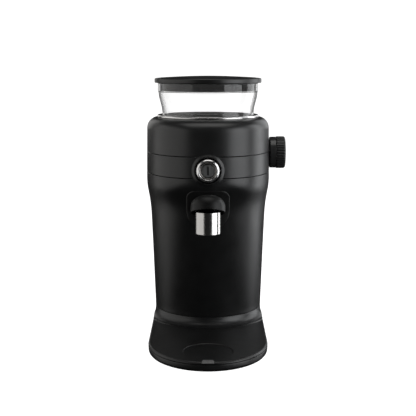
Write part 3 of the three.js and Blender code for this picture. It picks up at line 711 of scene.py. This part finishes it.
def make_column_foot():
    """The raised layer behind the tray, with the column's foot spreading onto it in a hollow curve."""
    foot = body_plan(FOOT_Z)
    spread_most = FOOT_Z - TRAY_TOP_Z - 2 * GAP
    widest = SLAB["half"] - 0.15
    blend = 20  # how far in front of its widest line the foot reaches its full spread
    plain = plan_outline(foot)

    def ring(z, growth):
        points = []
        for (x, y), (far_x, far_y) in zip(plain, plan_outline(foot, -growth)):
            share = min(max((foot["front_centre"] - y) / blend, 0), 1)
            side = min(max(x + (far_x - x) * share, -widest), widest)
            points.append((side, y + (far_y - y) * share, z))
        return points

    rings = [ring(RIM_TOP_Z + 0.1, spread_most), ring(TRAY_TOP_Z - 0.05, spread_most)]
    for sine, cosine in quarter(12):
        z = FOOT_Z - (FOOT_Z - TRAY_TOP_Z) * cosine - 0.35 * sine
        rings.append(ring(z, spread_most * (1 - sine)))
    rings.append(ring(FOOT_Z - 0.1, -0.12))
    rings.append(ring(FOOT_Z, -0.5))
    foot_piece = loft("column_foot", rings)
    deck = plate("base_deck", split_outline(False, -GAP), tray_edge(RIM_TOP_Z - 0.2))
    dress(foot_piece, SHELL, "housing", "shell_black", sharp=50)
    dress(deck, SHELL, "housing", "shell_black")


def tab_pocket():
    """The room for the lift tab in the tray's edge, as a cutting tool."""
    half = TAB_HALF + GAP
    back_half = TAB_BACK_HALF + GAP
    front_y = SLAB["front"] - 1
    rear_y = TAB_REAR_Y + GAP
    outline = [(-half, front_y), (half, front_y), (back_half, rear_y), (-back_half, rear_y)]
    return plate("tool", outline, [(0, TRAY_TOP_Z - 1.9), (0, TRAY_TOP_Z + 1)])


def make_lift_tab():
    """The tab's front follows the slab's rounded and chamfered edge."""
    edge = [
        (0.05, -1.6),
        (0.1, -1.4),
        (TRAY_CHAMFER - 0.4, -0.4),
        (TRAY_CHAMFER, -0.1),
        (TRAY_CHAMFER + 0.4, 0),
    ]
    rings = []
    for inset, drop in edge:
        z = TRAY_TOP_Z + TAB_STAND + drop
        reach = SLAB["front_centre"] - SLAB["front"] - inset
        ring = []
        for i in range(13):
            x = TAB_HALF * (i / 6 - 1)
            bulge = math.sqrt(1 - (x / SLAB["half"]) ** 2)
            ring.append((x, SLAB["front_centre"] - reach * bulge, z))
        ring.append((TAB_BACK_HALF, TAB_REAR_Y, z))
        ring.append((-TAB_BACK_HALF, TAB_REAR_Y, z))
        rings.append(ring)
    dress(loft("lift_tab", rings), TAB, "tray", "tab_grey", "tray_tab")


def make_tray():
    tray = plate("tray_top", split_outline(True, 0), tray_edge(RIM_TOP_Z + GAP))
    floor_z = TRAY_TOP_Z - CUP_RECESS_DEPTH
    recess = [
        (0, floor_z),
        (CUP_RECESS_RADIUS - 0.9, floor_z),
        (CUP_RECESS_RADIUS - 0.4, floor_z + 0.2),
        (CUP_RECESS_RADIUS + 0.4, TRAY_TOP_Z + 0.1),
        (CUP_RECESS_RADIUS + 0.4, TRAY_TOP_Z + 1),
        (0, TRAY_TOP_Z + 1),
    ]
    cut(tray, turned("tool", recess, 0, centre=(0, SPOUT_Y, 0)), tab_pocket())
    dress(tray, TRAY, "tray", "shell_black", "tray_plate")


def make_feet():
    profile = [(0, 0), (8.4, 0), (9, 0.6), (9, 2.1), (3, 2.1), (3, 5.4), (0, 5.4)]
    for name in ("foot_front_left", "foot_front_right", "foot_rear_left", "foot_rear_right"):
        low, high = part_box(name)
        middle = (low + high) / 2 - AXIS
        centre = (middle.x / MM, middle.y / MM, 0)
        foot = turned("pad_" + name, profile, 0.3, centre=centre, steps=48)
        dress(foot, RUBBER, "housing", "rubber_black", name)


# ---- Spout ----


def shield_outline(inset):
    """Points of the chute cover's outline: round below, with two rounded corners above."""
    half, bottom, top, corner = 24.2 - inset, 135.6 + inset, 184 - inset, 9 - inset
    arcs = [
        (half - corner, top - corner, corner, 0, 90),
        (corner - half, top - corner, corner, 90, 180),
        (0, bottom + half, half, 180, 360),
    ]
    points = []
    for x, z, radius, start, end in arcs:
        steps = 16 if end - start == 90 else 48
        for i in range(steps + 1):
            angle = math.radians(start + (end - start) * i / steps)
            points.append((x + radius * math.cos(angle), z + radius * math.sin(angle)))
    return points


def make_chute_cover():
    """A shield that follows the column's front, made from its middle out to its edge."""
    edge = [(inset, 1.5) for inset in (24, 18, 12, 6, 2)]
    edge += [(0.8, 1.48), (0.35, 1.3), (0.08, 0.95), (0, 0.6), (0, -1)]
    most_inset = 8  # rings further in than this are shrunk towards the middle
    middle_z = 160
    rings = []
    for inset, stand in edge:
        share = max(inset - most_inset, 0) / 16.5
        ring = []
        for x, z in shield_outline(min(inset, most_inset)):
            x -= x * share
            z += (middle_z - z) * share
            ring.append((x, body_front(x, z) - stand, z))
        rings.append(ring)
    dress(loft("chute_plate", rings), TRIM, "housing", "trim_black", "chute_cover", sharp=60)


def tilted(x, y, z):
    """The hood's own upright frame, leaned back over the tube."""
    sine, cosine = math.sin(-HOOD_TILT), math.cos(-HOOD_TILT)
    return (x, SPOUT_Y + y * cosine - z * sine, HOOD_MOUTH_Z + y * sine + z * cosine)


def make_hood():
    base = HOOD_HEIGHT - HOOD_DOME
    profile = [(0, 0), (HOOD_RADIUS, 0), (HOOD_RADIUS, base)]
    for sine, cosine in quarter(10)[1:-1]:
        profile.append((HOOD_RADIUS - HOOD_DOME * (1 - cosine), base + HOOD_DOME * sine))
    profile += [(HOOD_RADIUS - HOOD_DOME, HOOD_HEIGHT), (0, HOOD_HEIGHT + 0.6)]
    hood = turned("spout_cap", profile, 0, tilted)
    inner = HOOD_RADIUS - HOOD_WALL
    ceiling = HOOD_HEIGHT - HOOD_WALL
    bore = [(0, -20), (inner, -20), (inner, base), (HOOD_RADIUS - HOOD_DOME, ceiling), (0, ceiling)]
    join(hood, loft("tool", [neck_ring(y) for y in (-70, -90, SPOUT_Y + 22, SPOUT_Y + 10)]))
    inside_column = [plan_ring(body_plan(z), z, -1.2) for z in range(130, 200, 5)]
    cut(
        hood,
        turned("tool", bore, 0, tilted),
        rod_along_y(CHUTE_WAY, SPOUT_Y + 4, -60, 0, CHUTE_Z),
        loft("tool", inside_column),
        rod(TUBE_RADIUS + GAP, TUBE_BOTTOM_Z - 5, TUBE_TOP_Z + GAP, centre=(0, SPOUT_Y, 0)),
    )
    soften_by_remesh(hood, 0.5, 4)
    dress(hood, HOOD_PAINTED_SHADE, "housing", "trim_black", "spout_hood", sharp=180)


def neck_ring(y):
    half_width, half_height, steps = 15.5, 13, 64
    angles = [2 * math.pi * i / steps for i in range(steps)]
    return [(half_width * math.cos(a), y, CHUTE_Z - 1.3 + half_height * math.sin(a)) for a in angles]


def soften_by_remesh(obj, voxel, smoothing):
    """One even skin over a cut and joined solid, with its edges eased."""
    remesh = obj.modifiers.new("remesh", "REMESH")
    remesh.mode = "VOXEL"
    remesh.voxel_size = voxel * MM
    smooth = obj.modifiers.new("smooth", "SMOOTH")
    smooth.iterations = smoothing
    apply_modifiers(obj)


def make_spout_tube():
    wall = straight_profile(TUBE_RADIUS - TUBE_WALL, TUBE_RADIUS, TUBE_BOTTOM_Z, TUBE_TOP_Z)
    tube = turned("spout_pipe", wall, 0.5, centre=(0, SPOUT_Y, 0))
    cut(tube, rod_along_y(CHUTE_WAY, SPOUT_Y, SPOUT_Y + 20, 0, CHUTE_Z))
    dress(tube, CHROME, "housing", "chrome_trim", "spout_tube")


# ---- Power button ----


def make_bezel():
    back = -8
    bezel = [
        (BEZEL_INNER, back),
        (BEZEL_RADIUS, back),
        (BEZEL_RADIUS, 2.0),
        (12.85, 2.7),
        (12.4, 3.5),
        (11.7, 4.2),
        (10.9, 4.6),
        (10.2, 4.65),
        (BEZEL_INNER, 4.3),
    ]
    ring = turned("button_ring", bezel, 0.15, facing_front)
    dress(ring, BEZEL, "housing", "chrome_trim", "button_bezel")


def make_collar():
    collar = [(8, -7), (9.4, -7), (9.4, 3.1), (8.9, 3.6), (8.3, 3.6), (8, 3.2)]
    sleeve = turned("button_sleeve", collar, 0.2, facing_front)
    dress(sleeve, COLLAR, "housing", "dark_metal", "button_collar")


def make_button():
    """The pressed disc, with the upright power bar let into its face."""
    disc = turned("button_disc", straight_profile(0, BUTTON_RADIUS, -5, 2.9), 0.35, facing_front)
    cut(disc, bar_solid(1.0, 5.0, 2.3, 4))
    dress(disc, BUTTON, "button", "dark_metal", "power_button")
    dress(bar_solid(0.95, 4.95, 1.5, 2.45, "button_mark"), MARK, "button", "trim_black")


def bar_solid(half_width, half_length, low, high, name="tool"):
    """An upright bar with round ends, facing the front."""
    reach = half_length - half_width
    outline = []
    for centre, start in ((reach, 0), (-reach, math.pi)):
        for i in range(13):
            angle = start + math.pi * i / 12
            outline.append((half_width * math.cos(angle), centre + half_width * math.sin(angle)))
    return loft(name, [[facing_front(x, y, z) for x, y in outline] for z in (low, high)])


# ---- Hopper and lid ----


def make_hopper():
    outer = [
        (NECK_RADIUS, FLOOR_EDGE_Z),
        (NECK_RADIUS, 266.5),
        (54.75, 270.5),
        (55.6, 274.6),
        (56.75, 278.8),
        (57.8, 282.8),
        (58.6, 286.8),
        (59.1, COLLAR_Z - 0.4),
        (COLLAR_RADIUS, COLLAR_Z),
        (COLLAR_RADIUS, HOPPER_TOP_Z),
    ]
    inner = [(r - HOPPER_WALL, z) for r, z in outer]
    hopper = turned("bean_hopper", outer + inner[::-1], 0.4)
    dress(hopper, CLEAR, "hopper", "clear_plastic", "hopper")


def make_throat():
    """The hopper's funnel-shaped floor with its throat."""
    edge = NECK_RADIUS - HOPPER_WALL - GAP
    outside = THROAT_RADIUS + HOPPER_WALL
    floor = [
        (THROAT_RADIUS, THROAT_BOTTOM_Z),
        (outside, THROAT_BOTTOM_Z),
        (outside, 236),
        (edge, FLOOR_EDGE_Z),
        (edge, FLOOR_EDGE_Z + 2.9),
        (THROAT_RADIUS, 237.4),
    ]
    funnel = turned("bean_funnel_floor", floor, 0.4)
    dress(funnel, CLEAR, "hopper", "clear_plastic", "hopper_throat")


def make_finger_guard():
    """A ring in the throat with three bars across it and a hub where they meet."""
    levels = (GUARD_BOTTOM_Z, GUARD_TOP_Z)
    ring = turned("guard_ring", straight_profile(19.6, 21.9, *levels), 0.4)
    corners = [(-20.5, -1.2), (20.5, -1.2), (20.5, 1.2), (-20.5, 1.2)]
    bars = []
    for angle in (0, 60, 120):
        turn = Matrix.Rotation(math.radians(angle), 3, "Z")
        rings = [[tuple(turn @ Vector((x, y, z))) for x, y in corners] for z in levels]
        bars.append(loft("tool", rings))
    join(ring, *bars, turned("tool", straight_profile(0, 3, *levels), 0.4))
    dress(ring, TRIM, "hopper", "trim_black", "finger_guard")


def make_hopper_seat():
    inner, outer = NECK_RADIUS + 0.8, 60.6
    ring = [
        (inner, DECK_Z - 2),
        (inner + 1, DECK_Z - 2),
        (inner + 1, DECK_Z + GAP),
        (outer, DECK_Z + GAP),
        (outer, DECK_Z + 1.6),
        (outer - 0.5, DECK_Z + 2.5),
        (outer - 1.6, DECK_Z + 2.9),
        (inner, DECK_Z + 2.9),
    ]
    dress(turned("seat_ring", ring, 0.25), BEZEL, "housing", "chrome_trim", "hopper_ring")


def make_lock_ring():
    lock = straight_profile(NECK_RADIUS + 0.6, 58.5, 252, 257.5)
    dress(turned("lock_band", lock, 0.4), NYLON, "lock_ring", "nylon", "hopper_lock_ring")


def make_feed_funnel():
    funnel = [
        (26, 224),
        (28.2, 224),
        (28.2, 232.4),
        (52, 248.7),
        (57, 248.7),
        (57, 251),
        (52, 251),
        (26, 233.2),
    ]
    dress(turned("bean_funnel", funnel, 0.6), TRIM, "housing", "trim_black", "feed_funnel")


def make_lid():
    top = LID_UNDER_Z + LID_RIM
    lid = [
        (0, LID_UNDER_Z + 2.2),
        (58, LID_UNDER_Z + 2.2),
        (58, LID_UNDER_Z),
        (LID_RADIUS - 0.3, LID_UNDER_Z),
        (LID_RADIUS, LID_UNDER_Z + 0.6),
        (LID_RADIUS, top - 0.8),
        (LID_RADIUS - 0.8, top),
        (56, top + 0.72),
        (48, top + 1.2),
        (36, top + 1.8),
        (24, top + 2.3),
        (12, top + 2.6),
        (0, top + 2.7),
    ]
    dress(turned("lid_cap", lid, 0.4), LID, "lid", "trim_black", "hopper_lid")


def make_lid_seal():
    """The hollow plug under the lid, seen through the hopper's top."""
    plug = COLLAR_RADIUS - HOPPER_WALL - 0.6
    seal = [
        (0, HOPPER_TOP_Z - 1.5),
        (plug - 2.6, HOPPER_TOP_Z - 1.5),
        (plug - 2.6, COLLAR_Z + 0.5),
        (plug, COLLAR_Z + 0.5),
        (plug, LID_UNDER_Z + 1.9),
        (0, LID_UNDER_Z + 1.9),
    ]
    dress(turned("lid_plug", seal, 0.9), PLUG, "lid", "rubber_black", "lid_seal")


# ---- Grind knob ----


def make_knob_core():
    core = [
        (2.8, KNOB_START_X),
        (KNOB_RADIUS - 0.9, KNOB_START_X),
        (KNOB_RADIUS - 0.6, KNOB_START_X + 0.6),
        (KNOB_RADIUS - 0.5, KNOB_SKIRT_END),
        (KNOB_HUB_RADIUS, KNOB_SKIRT_END),
        (KNOB_HUB_RADIUS, KNOB_END_X - 2.2),
        (2.8, KNOB_END_X - 2.2),
    ]
    dress(turned("knob_skirt", core, 0.3, facing_right), KNOB_PAINTED_LIGHT, "knob", "trim_black", "knob_core")


def make_knob_grip():
    """A ribbed cap over the hub, its ribs fading out where its end is rounded."""
    start = KNOB_SKIRT_END + GAP
    length = KNOB_END_X - start
    edge = 2.4
    rows = [(-0.7, start), (0, start + 0.7), (0, start + length * 0.35), (0, start + length * 0.6)]
    rows += [(-edge * (1 - cosine), KNOB_END_X - edge * (1 - sine)) for sine, cosine in quarter(8)]
    rings = []
    for growth, z in rows:
        rib_share = 1 if z < KNOB_END_X - edge else (KNOB_END_X - z) / edge
        rings.append(knob_ring(growth, z, rib_share))
    for radius, depth in ((14.6, 0), (13.9, 0.25), (8, 0.6), (0.4, 0.7)):
        rings.append(round_ring(radius, KNOB_END_X - depth))
    inner_radius = KNOB_HUB_RADIUS + GAP
    for radius, z in ((0.4, KNOB_END_X - 1.7), (inner_radius, KNOB_END_X - 1.7), (inner_radius, start)):
        rings.append(round_ring(radius, z))
    grip = loft("knob_ribbed_grip", rings, looped=True)
    dress(grip, KNOB_PAINTED_LIGHT, "knob", "trim_black", "knob_grip", sharp=60)


def knob_ring(growth, z, rib_share):
    """One ring of the grip: its ribs are broad and rounded with narrow grooves between them."""
    ring = []
    for i in range(KNOB_STEPS):
        angle = 2 * math.pi * i / KNOB_STEPS
        groove = max(0, math.cos(angle * KNOB_RIBS)) ** 2
        radius = KNOB_RADIUS + growth - RIB_DEPTH * rib_share * groove
        ring.append(facing_right(radius * math.cos(angle), radius * math.sin(angle), z))
    return ring


def round_ring(radius, z):
    angles = [2 * math.pi * i / KNOB_STEPS for i in range(KNOB_STEPS)]
    return [facing_right(radius * math.cos(a), radius * math.sin(a), z) for a in angles]


# ---- Cord gland ----


def make_gland():
    profile = [(3.6, -8), (6, -8), (6, GAP), (9, GAP), (8.4, 1.8), (4.4, 1.8), (3.6, 1.2)]
    grommet = turned("cord_grommet", profile, 0.25, facing_back, steps=64)
    dress(grommet, RUBBER, "housing", "rubber_black", "cord_gland")


# ---- Studio ----


def area_light(name, place, target, size, radiance, colour):
    """A softbox that shows in reflections but not to the camera or through clear plastic."""
    data = bpy.data.lights.new(name, "AREA")
    data.shape = "RECTANGLE"
    data.size, data.size_y = size
    data.energy = radiance * math.pi * size[0] * size[1]
    data.color = colour
    light = bpy.data.objects.new(name, data)
    light.location = place
    light.rotation_euler = (Vector(target) - Vector(place)).to_track_quat("-Z", "Y").to_euler()
    light.visible_camera = False
    light.visible_transmission = False
    bpy.context.scene.collection.objects.link(light)


def side_light(name, side, span, height, radiance, colour):
    """An upright softbox beside the grinder, from one y and z to another."""
    (front, back), (low, high) = span, height
    middle = ((front + back) / 2, (low + high) / 2)
    area_light(name, (side, *middle), (0, *middle), (back - front, high - low), radiance, colour)


def make_lights():
    warm, cool = (1, 0.99, 0.97), (0.97, 0.985, 1)
    left, right = -0.95, 0.95
    side_light("left_softbox", left, (-1.3, 0.7), (-0.28, 1.0), 0.9, warm)
    side_light("left_low_softbox", left, (-0.5, 0.45), (-0.46, -0.28), 0.7, warm)
    side_light("right_softbox_front", right, (-1.25, -0.12), (-0.3, 1.0), 3.1, cool)
    side_light("right_softbox_back", right, (0.2, 0.85), (-0.29, 1.0), 2.6, cool)
    side_light("right_low_softbox", right, (-0.6, 0.6), (-0.46, -0.3), 1.0, cool)
    area_light("top_softbox", (0, -0.15, 1.3), (0, -0.15, 0), (1.0, 0.8), 1.7, warm)
    area_light("rear_left_softbox", (-0.8, 1.6, 0.6), (-0.2, 0, 0.3), (0.7, 0.9), 0.9, warm)
    area_light("rear_right_softbox", (0.8, 1.6, 0.6), (0.2, 0, 0.3), (0.7, 0.9), 1.3, cool)


def straight_view(nodes, links):
    """One for a ray from the camera, also through clear plastic, and zero after a reflection.

    A ray that leaves clear plastic after a reflection gets a small share.
    """
    path = nodes.new("ShaderNodeLightPath")
    bounces = nodes.new("ShaderNodeMath")
    bounces.operation = "ADD"
    straight = nodes.new("ShaderNodeMath")
    straight.operation = "LESS_THAN"
    straight.inputs[1].default_value = 0.5
    links.new(path.outputs["Glossy Depth"], bounces.inputs[0])
    links.new(path.outputs["Diffuse Depth"], bounces.inputs[1])
    inside = nodes.new("ShaderNodeMath")
    inside.operation = "MULTIPLY"
    inside.inputs[1].default_value = 0.32  # the small share
    share = nodes.new("ShaderNodeMath")
    share.operation = "MAXIMUM"
    links.new(bounces.outputs["Value"], straight.inputs[0])
    links.new(path.outputs["Is Transmission Ray"], inside.inputs[0])
    links.new(straight.outputs["Value"], share.inputs[0])
    links.new(inside.outputs["Value"], share.inputs[1])
    return share.outputs["Value"]


def make_world():
    """White to the camera and straight through clear plastic, and nearly dark to reflections."""
    world = bpy.data.worlds.new("studio")
    bpy.context.scene.world = world
    world.use_nodes = True
    nodes, links = world.node_tree.nodes, world.node_tree.links
    dim = nodes["Background"]
    dim.inputs["Color"].default_value = (1, 1, 1, 1)
    dim.inputs["Strength"].default_value = 0.02
    white = nodes.new("ShaderNodeBackground")
    white.inputs["Color"].default_value = (1, 1, 1, 1)
    white.inputs["Strength"].default_value = BACKDROP_WHITE
    mix = nodes.new("ShaderNodeMixShader")
    links.new(straight_view(nodes, links), mix.inputs["Fac"])
    links.new(dim.outputs["Background"], mix.inputs[1])
    links.new(white.outputs["Background"], mix.inputs[2])
    links.new(mix.outputs["Shader"], nodes["World Output"].inputs["Surface"])


def make_floor():
    """A pale floor that the object doesn't see in reflections."""
    half = 12.0  # metres
    corners = [(-half, -half, 0), (half, -half, 0), (half, half, 0), (-half, half, 0)]
    mesh = bpy.data.meshes.new("floor")
    mesh.from_pydata(corners, [], [(0, 1, 2, 3)])
    floor = bpy.data.objects.new("floor", mesh)
    bpy.context.scene.collection.objects.link(floor)
    material, nodes, links, shader = new_material("pale_floor")
    shader.inputs["Base Color"].default_value = (0.5, 0.5, 0.5, 1)
    shader.inputs["Roughness"].default_value = 0.9
    shader.inputs["Specular IOR Level"].default_value = 0
    shader.inputs["Emission Color"].default_value = (BACKDROP_WHITE, BACKDROP_WHITE, BACKDROP_WHITE, 1)
    links.new(straight_view(nodes, links), shader.inputs["Emission Strength"])
    mesh.materials.append(material)
    floor.visible_glossy = False
    floor.visible_diffuse = False


def make_camera():
    """Straight in front, a little above the lid, looking slightly down."""
    data = bpy.data.cameras.new("camera")
    data.lens = CAMERA_LENS
    camera = bpy.data.objects.new("camera", data)
    camera.location = spot(*CAMERA_PLACE)
    camera.rotation_euler = (math.pi / 2 - CAMERA_TILT, 0, 0)
    bpy.context.scene.collection.objects.link(camera)
    bpy.context.scene.camera = camera


make_camera()
make_world()
make_lights()
make_floor()
bpy.context.scene.view_settings.view_transform = "Standard"

dress_cad_nodes()
make_main_housing()
make_middle_band()
make_top_shell()
make_button_boss()
make_base()
make_column_foot()
make_tray()
make_lift_tab()
make_feet()
make_chute_cover()
make_hood()
make_spout_tube()
make_bezel()
make_collar()
make_button()
make_hopper()
make_throat()
make_finger_guard()
make_hopper_seat()
make_lock_ring()
make_feed_funnel()
make_lid()
make_lid_seal()
make_knob_core()
make_knob_grip()
make_gland()
